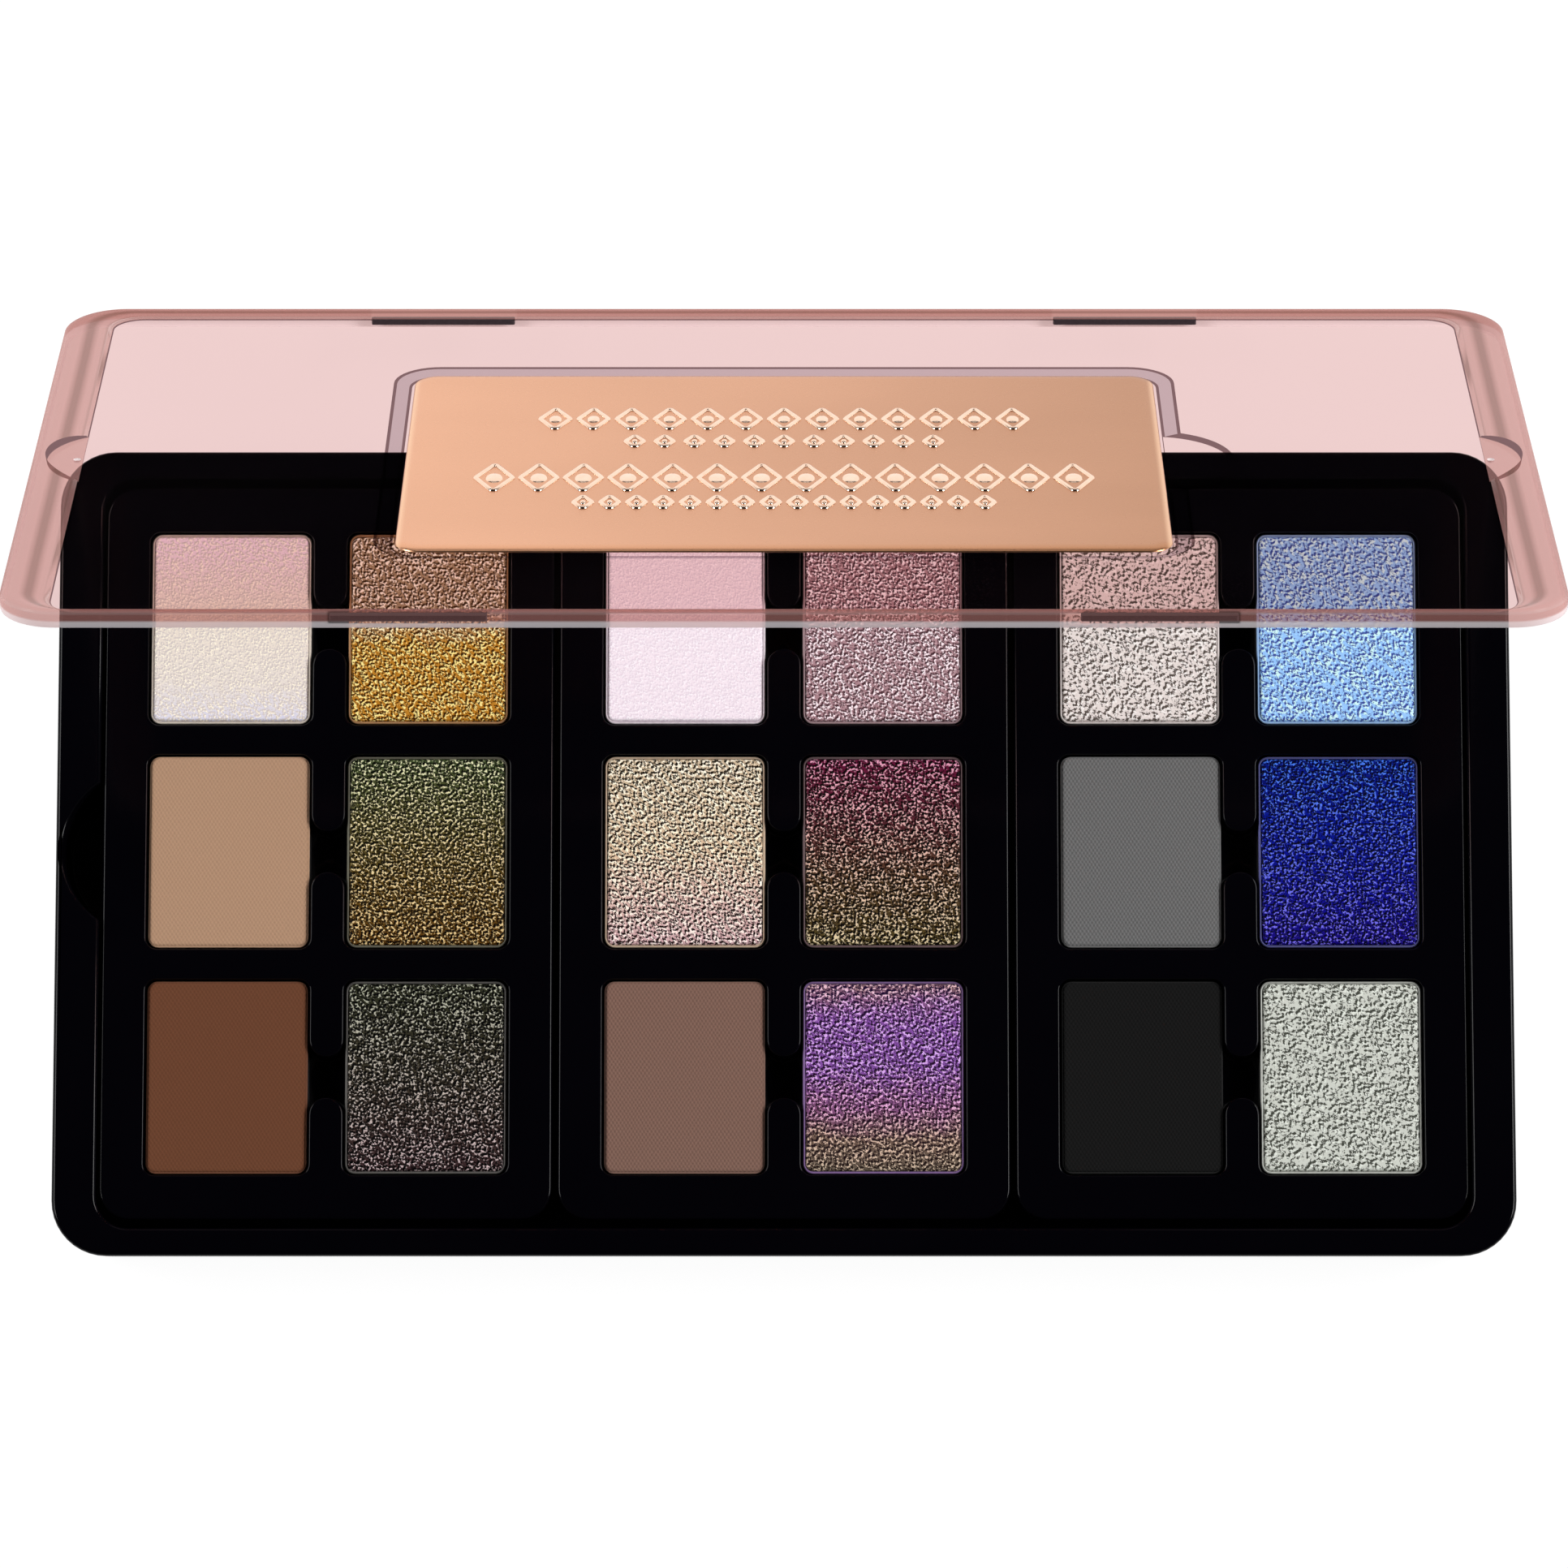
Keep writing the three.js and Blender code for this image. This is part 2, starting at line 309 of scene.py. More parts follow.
cover = Moulding()
foot_edge = roll((TAPER, FOOT_ROLL + 0.2), (TAPER + FOOT_ROLL, case_low.z))[::-1]
under = [(TAPER + FOOT_ROLL + HOLD, case_low.z), *foot_edge]
seam = [(TAPER, cover_high.z - PARTING), (TAPER + PARTING, cover_high.z)]
cover_rings = cover.rings(case_outline, under + seam)
cover.cover(cover_rings[0])
cover.cover(cover_rings[-1])
stand("lower_shell", cover.mesh("lower_shell", [BLACK]), "base", "black_gloss", "base_bottom_cover")


# ---- Tray ---------------------------------------------------------------------------------
# The upper shell of the case: a wall of even height round one rounded well, with a half-moon
# scoop for a fingertip in the left wall. Moulded in one piece; four pockets hold the magnets.

_, _, tray_low, tray_high = size_of("base_tray")
WELL = {"width": 197.4, "depth": 109.0, "corner": 4.7, "floor": 4.3}
SCOOP_X, SCOOP_RADIUS = -92.0, 12.0
RIM_ROLL, WELL_ROLL, FLOOR_ROLL = 0.7, 0.55, 0.8
POCKET_SLACK = 0.2


def well_outline(inset):
    """The well's edge: a rounded rectangle whose left side bulges out round the scoop."""
    points = rounded_outline(WELL["width"], WELL["depth"], WELL["corner"], inset, steps=12)
    side = -WELL["width"] / 2 + inset
    radius = SCOOP_RADIUS - inset
    swing = math.degrees(math.acos((side - SCOOP_X) / radius))
    bulge = arc(SCOOP_X, 0.0, radius, swing, 360 - swing, 36)
    left = len(points) // 2
    return points[:left] + bulge + points[left:]


tray_body = Moulding()
rim = tray_high.z
outside = [(TAPER + 0.02, tray_low.z), (TAPER - 0.1, tray_low.z + PARTING)]
outside += roll((0.0, rim - RIM_ROLL), (RIM_ROLL, rim))
outer_rings = tray_body.rings(case_outline, outside + [(RIM_ROLL + HOLD, rim)])
inside = [(-WELL_ROLL - HOLD, rim), *roll((0.0, rim - WELL_ROLL), (-WELL_ROLL, rim))[::-1]]
foot = roll((0.0, WELL["floor"] + FLOOR_ROLL), (FLOOR_ROLL, WELL["floor"]))
well_rings = tray_body.rings(well_outline, inside + foot)
tray_body.cover(outer_rings[-1], well_rings[0])
tray_body.cover(well_rings[-1])
pocket_mouths = []
for face in ("front", "back"):
    for side in ("left", "right"):
        middle, bar, _, bar_high = size_of(f"base_magnet_{face}_{side}")
        pocket = rounded_outline(bar.x + POCKET_SLACK, bar.y + POCKET_SLACK, 0.3, 0.0, middle, 2)
        mouth, top = [tray_body.ring(pocket, height) for height in (tray_low.z, bar_high.z + 0.05)]
        tray_body.bridge(mouth, top)
        tray_body.cover(top)
        pocket_mouths.append(mouth)
tray_body.cover(outer_rings[0], *pocket_mouths)
stand("tray", tray_body.mesh("tray", [BLACK]), "base", "black_gloss", "base_tray")


# ---- Steel sheet and magnets ----------------------------------------------------------------
# A thin blackened steel sheet on the well's floor holds the inserts down, and dark coated bar
# magnets in the walls and in the lid hold the lid shut. Magnet sheets hold the pans.

def sheet_steel():
    look = Finish("blackened steel", metallic=1.0)
    rolled = look.noise(look.place((0.04, 1.0, 1.0)), 4.0, 3.0)
    look.set(
        base_color=look.mix(rolled, (0.018, 0.018, 0.020), (0.034, 0.034, 0.038)),
        roughness=0.34 + rolled * 0.15,
        normal=look.bump(rolled, 0.01),
    )
    return look.material


def coated_magnet():
    look = Finish("coated magnet")
    place = look.place()
    chips = look.cells(place, 1.4)
    fine = look.noise(place, 3.0, 4.0)
    look.set(
        base_color=look.mix(fine, (0.040, 0.030, 0.036), (0.085, 0.068, 0.078)),
        roughness=0.42 + fine * 0.2,
        metallic=0.35,
        normal=look.bump(fine + chips * 0.3, 0.03),
    )
    return look.material


def magnet_sheet():
    look = Finish("flexible magnet sheet")
    fine = look.noise(look.place(), 5.0, 4.0)
    look.set(
        base_color=look.mix(fine, (0.020, 0.018, 0.017), (0.036, 0.033, 0.031)),
        roughness=0.75 + fine * 0.15,
        normal=look.bump(fine, 0.02),
    )
    return look.material


def refinish(node, material):
    """Gives a CAD node that keeps its own shape a new surface."""
    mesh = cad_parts[node].data
    mesh.materials.clear()
    mesh.materials.append(material)


refinish("base_steel_sheet", sheet_steel())
COATED = coated_magnet()
FLEXIBLE = magnet_sheet()
for owner in ("base", "lid"):
    for face in ("front", "back"):
        for side in ("left", "right"):
            refinish(f"{owner}_magnet_{face}_{side}", COATED)
refinish("plate_magnet", COATED)
for side in ("left", "centre", "right"):
    refinish("insert_magnet_sheet_" + side, FLEXIBLE)


# ---- Inserts --------------------------------------------------------------------------------
# Three equal lift-out trays of the same gloss black moulding. Each row of two wells is one
# opening: the bar between the wells stops short, so that a nail can lift a pan by its side.

ROWS = (32.6, 0.0, -32.7)
COLUMN = 14.3
WELL_HALF = (11.85, 14.15)
WELL_CORNER = 1.6
STUB_END = 5.4  # from the row's middle to the centre of the bar's half-round end
LIP = 0.28
SNUG = 0.8  # the moulded sides stand out a little past the plain frame of the insert
HOLLOW = {"width": 59.3, "depth": 100.8, "corner": 2.2, "skin": 1.4}
WELL_DROP = 5.0
INSERT_CORNER = 3.7
SKIRT_ROLL = 0.4


def row_outline(x, y, inset):
    """Two wells and the gap between them; a negative inset opens them wider."""
    half_x, half_y = WELL_HALF[0] - inset, WELL_HALF[1] - inset
    corner = WELL_CORNER - inset
    stub = COLUMN - half_x
    right, left = x + COLUMN, x - COLUMN
    dx, dy = half_x - corner, half_y - corner
    return [
        *arc(right + dx, y - dy, corner, -90, 0, 6),
        *arc(right + dx, y + dy, corner, 0, 90, 6),
        *arc(right - dx, y + dy, corner, 90, 180, 6),
        *arc(x, y + STUB_END, stub, 0, -180, 14),
        *arc(left + dx, y + dy, corner, 0, 90, 6),
        *arc(left - dx, y + dy, corner, 90, 180, 6),
        *arc(left - dx, y - dy, corner, 180, 270, 6),
        *arc(left + dx, y - dy, corner, 270, 360, 6),
        *arc(x, y - STUB_END, stub, 180, 0, 14),
        *arc(right - dx, y - dy, corner, 180, 270, 6),
    ]


def insert_body(name, middle, size, low, high):
    body = Moulding()

    def outline(inset):
        return rounded_outline(size.x, size.y, INSERT_CORNER, inset - SNUG, middle)

    def hollow(inset):
        return rounded_outline(HOLLOW["width"], HOLLOW["depth"], HOLLOW["corner"], inset, middle)

    deck, floor = high.z, high.z - WELL_DROP
    skirt = [(0.3, low.z), (0.0, low.z + 0.3)]
    skirt += roll((0.0, deck - SKIRT_ROLL), (SKIRT_ROLL, deck))
    outer = body.rings(outline, skirt + [(SKIRT_ROLL + HOLD, deck)])
    under = body.rings(hollow, [(0.0, low.z), (0.0, floor - HOLLOW["skin"])])
    body.cover(outer[0], under[0])
    body.cover(under[-1])
    mouths = []
    for row in ROWS:
        lip = [(-LIP - HOLD, deck), *roll((0.0, deck - LIP), (-LIP, deck))[::-1]]
        foot = roll((0.0, floor + 0.5), (0.5, floor), 3)
        made = body.rings(lambda inset: row_outline(middle.x, row, inset), lip + foot)
        body.cover(made[-1])
        mouths.append(made[0])
    body.cover(outer[-1], *mouths)
    return body.mesh(name, [BLACK])


for side in ("left", "centre", "right"):
    node = "insert_" + side
    stand(node + "_tray", insert_body(node, *size_of(node)), node, "black_gloss", node)


# ---- Pans -----------------------------------------------------------------------------------
# Each pan is pressed from thin tinplate: a flat floor, a rounded corner and a plain cut edge
# that shows as a bright line round the powder. One recipe makes them all.

class Recipe(Nodes):
    """A Geometry Nodes tree with named inputs, run once for each piece that it makes."""

    def __init__(self, name, **inputs):
        super().__init__(bpy.data.node_groups.new(name, "GeometryNodeTree"))
        kinds = {float: "NodeSocketFloat", int: "NodeSocketInt", tuple: "NodeSocketVector"}
        for key, value in inputs.items():
            kind = kinds.get(type(value), "NodeSocketMaterial")
            socket = self.tree.interface.new_socket(key, in_out="INPUT", socket_type=kind)
            socket.default_value = value
        self.tree.interface.new_socket("Geometry", in_out="OUTPUT", socket_type="NodeSocketGeometry")
        self.entry = self.tree.nodes.new("NodeGroupInput")
        self.defaults = inputs

    def input(self, name):
        return Signal(self, self.entry.outputs[name])

    def join(self, *parts):
        """Joins geometries; the socket takes many links, the last one made first."""
        node = self.tree.nodes.new("GeometryNodeJoinGeometry")
        for part in parts:
            self.tree.links.new(part.socket, node.inputs[0])
        return Signal(self, node.outputs[0])

    def serve(self, result):
        """Every recipe ends in real geometry with its material set."""
        real = self.add("GeometryNodeRealizeInstances", None, {0: result})
        painted = self.add("GeometryNodeSetMaterial", None, {0: real, "Material": self.input("Finish")})
        exit_node = self.tree.nodes.new("NodeGroupOutput")
        self.tree.links.new(painted.socket, exit_node.inputs[0])

    def make(self, name, **values):
        """The plain mesh that the tree gives for these inputs."""
        host = bpy.data.objects.new(name, bpy.data.meshes.new(name))
        scene.collection.objects.link(host)
        modifier = host.modifiers.new(name, "NODES")
        modifier.node_group = self.tree
        for item in self.tree.interface.items_tree:
            if item.in_out == "INPUT":
                modifier[item.identifier] = values.get(item.name, self.defaults[item.name])
        graph = bpy.context.evaluated_depsgraph_get()
        mesh = bpy.data.meshes.new_from_object(host.evaluated_get(graph))
        mesh.name = name
        bpy.data.objects.remove(host)
        return mesh


def tone(red, green, blue):
    """A colour given as it looks on a display, out of 255, as the linear values of a shader."""
    def linear(value):
        value /= 255.0
        return value / 12.92 if value <= 0.04045 else ((value + 0.055) / 1.055) ** 2.4
    return linear(red), linear(green), linear(blue)


def tinplate(name, dust, share):
    """Drawn tin, bright inside; the powder leaves its dust over the pan's cut edge."""
    look = Finish("tinplate " + name, specular_ior_level=0.2)
    place = look.place()
    _, _, z = look.parts(place)
    drawn = look.noise(place, 2.5, 4.0)
    dusty = z.ramp(RIM_LINE - 0.5, RIM_LINE - 0.3) * (share + (drawn - 0.5) * 0.3).clipped()
    metal = look.mix(drawn, (0.12, 0.12, 0.125), (0.28, 0.275, 0.27))
    look.set(
        base_color=look.mix(dusty, metal, dust),
        metallic=1 - dusty,
        roughness=0.28 + dusty * 0.5 + drawn * 0.1,
        normal=look.bump(drawn, 0.01),
    )
    return look.material


def pan_recipe(material):
    """A rolled wall swept round a rounded rectangle, and the flat floor inside it."""
    tree = Recipe("pressed pan", Width=23.2, Depth=27.8, Height=4.2, Wall=0.35, Corner=1.3,
                  Middle=(0.0, 0.0, 0.0), Finish=material)
    wall, height, corner = [tree.input(name) for name in ("Wall", "Height", "Corner")]
    width, depth = tree.input("Width"), tree.input("Depth")

    def outline(inset, radius):
        sheet = tree.add("GeometryNodeCurvePrimitiveQuadrilateral", None,
                         {"Width": width - inset, "Height": depth - inset})
        return tree.add("GeometryNodeFilletCurve", {"mode": "POLY"},
                        {"Curve": sheet, "Radius": radius, "Count": 6})

    section = tree.add("GeometryNodeCurvePrimitiveQuadrilateral", None,
                       {"Width": wall, "Height": height})
    section = tree.add("GeometryNodeFilletCurve", {"mode": "POLY"},
                       {"Curve": section, "Radius": wall * 0.42, "Count": 2})
    rim = tree.add("GeometryNodeCurveToMesh", None,
                   {"Curve": outline(wall, corner), "Profile Curve": section})
    rim = tree.add("GeometryNodeTransform", None,
                   {0: rim, "Translation": tree.vector(0.0, 0.0, height / 2)})
    sheet = tree.add("GeometryNodeFillCurve", {"mode": "NGONS"}, {0: outline(wall, corner)})
    sheet = tree.add("GeometryNodeTransform", None,
                     {0: sheet, "Translation": tree.vector(0.0, 0.0, wall * 0.3)})
    raised = tree.add("GeometryNodeExtrudeMesh", {"mode": "FACES"},
                      {"Mesh": sheet, "Offset": tree.vector(0.0, 0.0, wall), "Individual": False})
    under = tree.add("GeometryNodeFlipFaces", None, {0: sheet})
    floor = tree.add("GeometryNodeMergeByDistance", None,
                     {0: tree.join(raised, under), "Distance": 0.001})
    pan = tree.add("GeometryNodeTransform", None,
                   {0: tree.join(rim, floor), "Translation": tree.input("Middle")})
    tree.serve(pan)
    return tree


# A matte shade has one colour and its spread. A flaked shade has the colour of its binder, of its
# flakes with their painted glint and of the painted shadow in the pits beside them, each even or as
# {share of the way to the far edge: colour}, a change down the pan that is a painted sheen.
MATTE = {
    "left_2a": {"shade": (170, 136, 110), "spread": 0.12},
    "left_3a": {"shade": (102, 64, 45), "spread": 0.13},
    "centre_3a": {"shade": (120, 92, 81), "spread": 0.27},
    "right_2a": {"shade": (100, 100, 100), "spread": 0.35},
    "right_3a": {"shade": (22, 22, 22), "spread": 0.30},
}
FLAKED = {
    # The far ends of left_1a and left_1b, which lie under the lid, are painted in the pink lid's tinted
    # shade: lilac on left_1a, beige on left_1b.
    "left_1a": {
        "binder": {0.0: (214, 212, 230), 0.2: (230, 220, 212), 0.6: (233, 220, 204), 0.95: (240, 216, 232)},
        "flake": (255, 246, 228), "pit_shadow": (204, 192, 188), "grain": 0.30, "relief": 0.02,
    },
    "left_1b": {
        "binder": {0.0: (186, 124, 34), 0.42: (182, 122, 36), 0.6: (162, 136, 104)},
        "flake": {0.0: (255, 234, 150), 0.42: (255, 234, 150), 0.6: (255, 244, 222)},
        "pit_shadow": (56, 26, 0), "grain": 0.38, "shine": 0.550, "hollow": 0.505,
    },
    "centre_1a": {
        "binder": (241, 229, 238), "flake": (255, 248, 255), "pit_shadow": (224, 210, 222),
        "grain": 0.30, "relief": 0.02,
    },
    "centre_1b": {
        "binder": (167, 131, 138), "flake": (255, 240, 246), "pit_shadow": (72, 42, 50),
        "grain": 0.38, "shine": 0.550, "hollow": 0.505,
    },
    "right_1a": {
        "binder": (226, 216, 212), "flake": (249, 243, 240), "pit_shadow": (84, 74, 68),
        "grain": 0.48, "hollow": 0.522, "relief": 0.06,
    },
    "right_1b": {
        "binder": (148, 195, 246), "flake": (212, 248, 252), "pit_shadow": (54, 72, 150),
        "grain": 0.42, "shine": 0.550, "hollow": 0.512, "relief": 0.05,
    },
    "left_2b": {
        "binder": {0.0: (88, 56, 12), 0.35: (86, 64, 18), 0.7: (76, 72, 34), 1.0: (64, 78, 44)},
        "flake": {0.0: (236, 205, 144), 0.5: (234, 214, 165), 1.0: (228, 230, 188)},
        "pit_shadow": {0.0: (8, 2, 0), 1.0: (3, 6, 0)}, "grain": 0.40, "shine": 0.560, "hollow": 0.486,
    },
    "centre_2a": {
        "binder": {0.0: (204, 164, 168), 0.3: (212, 178, 164), 0.5: (216, 188, 156), 1.0: (202, 182, 152)},
        "flake": {0.0: (255, 237, 232), 0.5: (255, 248, 224), 1.0: (254, 248, 229)},
        "pit_shadow": {0.0: (30, 12, 12), 1.0: (26, 18, 6)},
        "grain": 0.44, "shine": 0.545, "hollow": 0.493, "relief": 0.04,
    },
    "centre_2b": {
        "binder": {0.0: (74, 62, 28), 0.35: (80, 56, 34), 0.65: (84, 36, 44), 1.0: (92, 12, 50)},
        "flake": {0.0: (224, 206, 166), 0.5: (228, 190, 176), 1.0: (228, 156, 186)},
        "pit_shadow": {0.0: (2, 0, 0), 1.0: (4, 0, 0)}, "grain": 0.38, "shine": 0.560, "hollow": 0.476,
    },
    "right_2b": {
        "binder": {0.0: (18, 4, 116), 0.35: (6, 12, 136), 0.6: (0, 16, 134), 1.0: (0, 18, 118)},
        "flake": {0.0: (120, 108, 240), 1.0: (68, 122, 240)}, "pit_shadow": (0, 0, 30),
        "grain": 0.36, "shine": 0.570, "hollow": 0.484,
    },
    "left_3b": {
        "binder": {0.0: (57, 37, 39), 0.5: (50, 44, 33), 1.0: (44, 46, 31)},
        "flake": {0.0: (209, 186, 188), 0.5: (197, 187, 176), 1.0: (188, 190, 169)}, "pit_shadow": (0, 0, 0),
        "grain": 0.36, "shine": 0.574, "hollow": 0.473,
    },
    "centre_3b": {
        "binder": {0.0: (96, 84, 72), 0.16: (106, 84, 73), 0.32: (124, 76, 112), 0.55: (124, 74, 154),
                   0.8: (128, 75, 158), 0.92: (129, 83, 120), 1.0: (121, 88, 98)},
        "flake": {0.0: (210, 188, 164), 0.18: (218, 186, 168), 0.34: (230, 172, 216), 0.6: (218, 172, 242),
                  0.85: (222, 174, 240), 1.0: (236, 196, 202)},
        "pit_shadow": {0.0: (30, 18, 14), 0.3: (30, 8, 26), 1.0: (30, 6, 46)},
        "grain": 0.44, "shine": 0.555, "hollow": 0.496,
    },
    "right_3b": {
        "binder": (201, 204, 195), "flake": (229, 233, 224), "pit_shadow": (66, 68, 60),
        "grain": 0.46, "hollow": 0.512, "relief": 0.06,
    },
}


def middle_tone(colors):
    """The colour half-way along a shade."""
    return tone(*(list(colors.values())[len(colors) // 2] if isinstance(colors, dict) else colors))


RIM_LINE = size_of("pan_left_1a")[3].z
CELLS = [f"{side}_{row + 1}{column}" for side in ("left", "centre", "right")
         for row in range(len(ROWS)) for column in "ab"]


def from_recipe(mesh, crease=50.0):
    """A recipe works in millimetres; its mesh is brought to metres and given its shading."""
    mesh.transform(Matrix.Scale(MM, 4))
    tidy_normals(mesh, crease)
    return mesh


PAN = pan_recipe(COATED)
for cell in CELLS:
    middle, pan, low, high = size_of("pan_" + cell)
    if cell in MATTE:
        tin = tinplate(cell, middle_tone(MATTE[cell]["shade"]), 1.1)
    else:
        tin = tinplate(cell, middle_tone(FLAKED[cell]["binder"]), 0.6)
    mesh = PAN.make("tin_" + cell, Width=pan.x, Depth=pan.y, Height=pan.z,
                    Middle=(middle.x, middle.y, low.z), Finish=tin)
    stand("tin_" + cell, from_recipe(mesh), "shade_" + cell, "pan_tin", "pan_" + cell)


# ---- Powder cakes ---------------------------------------------------------------------------
# Pressed powder fills each pan to just above its edge. The matte shades carry the weave of the
# cloth that they were pressed under; the others are binders loaded with flakes and pearl.

def cake_recipe(material):
    """A fine grid pulled into a rounded rectangle, its rim rolled down, its face uneven."""
    tree = Recipe("pressed cake", Width=22.4, Depth=27.0, Height=3.9, Corner=0.95, Edge=0.26,
                  Relief=0.05, Grain=1.0, Across=90, Along=108, Middle=(0.0, 0.0, 0.0), Finish=material)
    width, depth = tree.input("Width"), tree.input("Depth")
    corner, edge = tree.input("Corner"), tree.input("Edge")
    grid = tree.add("GeometryNodeMeshGrid", None,
                    {"Size X": width, "Size Y": depth,
                     "Vertices X": tree.input("Across"), "Vertices Y": tree.input("Along")})
    x, y, _ = tree.parts(tree.add("GeometryNodeInputPosition"))
    margin = (width / 2 - abs(x)).maths("MINIMUM", depth / 2 - abs(y))
    turn = (1 - margin / edge).clipped()
    drop = edge * (1 - (1 - turn * turn).maths("SQRT"))

    def core(value, half):
        return value.maths("MINIMUM", half).maths("MAXIMUM", half * -1)

    core_x, core_y = core(x, width / 2 - corner), core(y, depth / 2 - corner)
    off_x, off_y = x - core_x, y - core_y
    reach = (off_x * off_x + off_y * off_y).maths("SQRT").maths("MAXIMUM", 0.00001)
    pull = abs(off_x).maths("MAXIMUM", abs(off_y)) / reach
    seat = tree.add("ShaderNodeVectorMath", {"operation": "ADD"},
                    {0: tree.vector(x, y, 0.0), 1: tree.input("Middle")})
    grain = tree.add("ShaderNodeTexNoise", None,
                     {"Vector": seat, "Scale": tree.input("Grain"), "Detail": 3.0, "Roughness": 0.6})
    lift = (grain - 0.5) * tree.input("Relief") * (1 - turn)
    place = tree.vector(core_x + off_x * pull, core_y + off_y * pull, tree.input("Height") - drop + lift)
    top = tree.add("GeometryNodeSetPosition", None, {"Geometry": grid, "Position": place})
    faces = tree.add("GeometryNodeInputMeshEdgeNeighbors")
    skirt = tree.add("GeometryNodeExtrudeMesh", {"mode": "EDGES"},
                     {"Mesh": top, "Selection": faces.maths("COMPARE", 1.0, 0.1),
                      "Offset": tree.vector(0.0, 0.0, (edge - tree.input("Height")))})
    whole = tree.add("GeometryNodeTransform", None, {0: skirt, "Translation": tree.input("Middle")})
    tree.serve(whole)
    return tree


def close_underside(mesh):
    """The cake's flat underside, one face across its open lower edge."""
    work = bmesh.new()
    work.from_mesh(mesh)
    bmesh.ops.remove_doubles(work, verts=work.verts, dist=0.0005)
    bmesh.ops.holes_fill(work, edges=[e for e in work.edges if e.is_boundary])
    work.to_mesh(mesh)
    work.free()


def matte_powder(name, shade, spread):
    """Chalky powder pressed under a knitted cloth: rows of fine staggered dimples."""
    look = Finish("matte powder " + name, specular_ior_level=0.03)
    place = look.place()
    fine = look.noise(place, 5.0, 3.0)
    drift = look.noise(place, 0.12, 3.0)
    x, y, _ = look.parts(place)
    knit = (x * (math.tau / 0.55) + drift * 9.0).maths("SINE") * (y * (math.tau / 0.84)).maths("SINE")
    low, high = [[value * (1 + side * spread) for value in tone(*shade)] for side in (-1, 1)]
    look.set(
        base_color=look.mix((0.5 + knit * 0.4 + (fine - 0.5) * 0.9).clipped(), low, high),
        roughness=0.82 + fine * 0.12,
        normal=look.bump(knit + fine * 0.8, 0.03, 0.8),
    )
    return look.material


def flaked_powder(name, middle, size, binder, flake, pit_shadow, grain, shine=0.565, hollow=0.515,
                  relief=0.04):
    """Flakes lighter than their darker binder, partly their own colour and partly a painted glint, each
    with a dark pit beside it that is a painted shadow.
    """
    look = Finish("flaked powder " + name, specular_ior_level=0.06)
    place = look.place()
    _, y, _ = look.parts(place)
    # the colours change down the pan: a painted sheen in place of the shift of colour with the angle of
    # view
    wander = (look.noise(place, 0.3, 3.0) - 0.5) * 0.2
    along = (y - (middle.y - size.y / 2)) / size.y + wander

    def run(colors):
        if not isinstance(colors, dict):
            return tone(*colors)
        stops = [(share, tone(*color)) for share, color in colors.items()]
        return look.add("ShaderNodeValToRGB", {"stops": stops}, {"Fac": along})

    raised = look.noise(place, 1 / grain, 3.0, 0.6)
    beside = look.add("ShaderNodeVectorMath", {"operation": "ADD"},
                      {0: place, 1: (0.5 * grain, -0.6 * grain, 0.0)})
    sunk = look.noise(beside, 1 / grain, 3.0, 0.6)
    bright, deep = raised.ramp(shine - 0.015, shine + 0.03), sunk.ramp(hollow - 0.03, hollow + 0.02)
    look.set(
        # the flakes are painted light, partly a painted glint, and the pits beside them dark, a painted
        # shadow
        base_color=look.mix(bright, look.mix(deep, run(binder), run(pit_shadow)), run(flake)),
        roughness=0.5 - bright * 0.16,
        metallic=bright * 0.1,
        normal=look.bump(bright - deep * 0.7 + raised, relief / 2),
    )
    return look.material


SPILL = 0.5  # a matte powder is pressed over its pan's edge
CAKE_CORNER = 0.95
CAKE = cake_recipe(FLEXIBLE)
for cell in CELLS:
    middle, cake, low, high = size_of("cake_" + cell)
    if cell in MATTE:
        powder, relief = matte_powder(cell, **MATTE[cell]), 0.02
    else:
        powder = flaked_powder(cell, middle, cake, **FLAKED[cell])
        relief = FLAKED[cell].get("relief", 0.04)
    spill = SPILL if cell in MATTE else 0.0
    mesh = CAKE.make("powder_" + cell, Width=cake.x + spill, Depth=cake.y + spill, Height=cake.z,
                     Corner=CAKE_CORNER + spill / 2, Relief=relief, Middle=(middle.x, middle.y, low.z),
                     Finish=powder)
    close_underside(mesh)
    stand("powder_" + cell, from_recipe(mesh, 70.0), "shade_" + cell, "powder_" + cell, "cake_" + cell)


# ---- Lid ------------------------------------------------------------------------------------
# One clear moulding with a light pink tint. A bead runs round a thin flat sheet, broad at the
# sides and narrow at front and back; half-moons are dished into it and a pocket holds the plate.

LID = {"width": 210.0, "depth": 117.0, "thick": 2.8, "edge": 0.9, "panel": 1.3}
BEAD_INNER = {"width": 196.6, "depth": 113.8, "corner": 4.6}
LID_TILT = math.radians(58.27)
LID_MIDDLE = Vector((0.0, 50.97, 55.43))
LID_FRAME = Matrix.Translation(LID_MIDDLE * MM) @ Matrix.Rotation(-LID_TILT, 4, "X")
POCKET = {"width": 112.0, "depth": 74.0, "corner": 6.5, "floor": 2.05}
RECESS = {"radius": 10.1, "from_middle": 93.2, "flare": 0.2}
DIMPLE = {"radius": 0.8, "from_middle": 98.9, "flare": 0.35, "depth": 0.3}
THUMB = {"radius": 11.6, "from_middle": 52.0, "flare": 0.8}
MAGNET_X, MAGNET_HALF = 50.0, 10.4
CREST = 0.22  # the bead is highest this share of the way in
SKIM = 0.03  # a recess stops this far above the face beside it, so that no two faces coincide
CUT_REACH = 14.0  # the cuts in the bead lie within this distance of its middle
BEAD_TINT = (0.75, 0.56, 0.53)


def see_through(look, share, tint):
    """Lays share of the shaded surface over the tinted view through the plastic."""
    through = look.add("ShaderNodeBsdfTransparent", None, {"Color": (*tint, 1.0)})
    surface = look.add("ShaderNodeMixShader", None, {0: share, 1: through})
    mixer = surface.socket.node
    look.tree.links.new(look.shader.outputs[0], mixer.inputs[2])
    look.tree.links.new(mixer.outputs[0], look.output.inputs["Surface"])


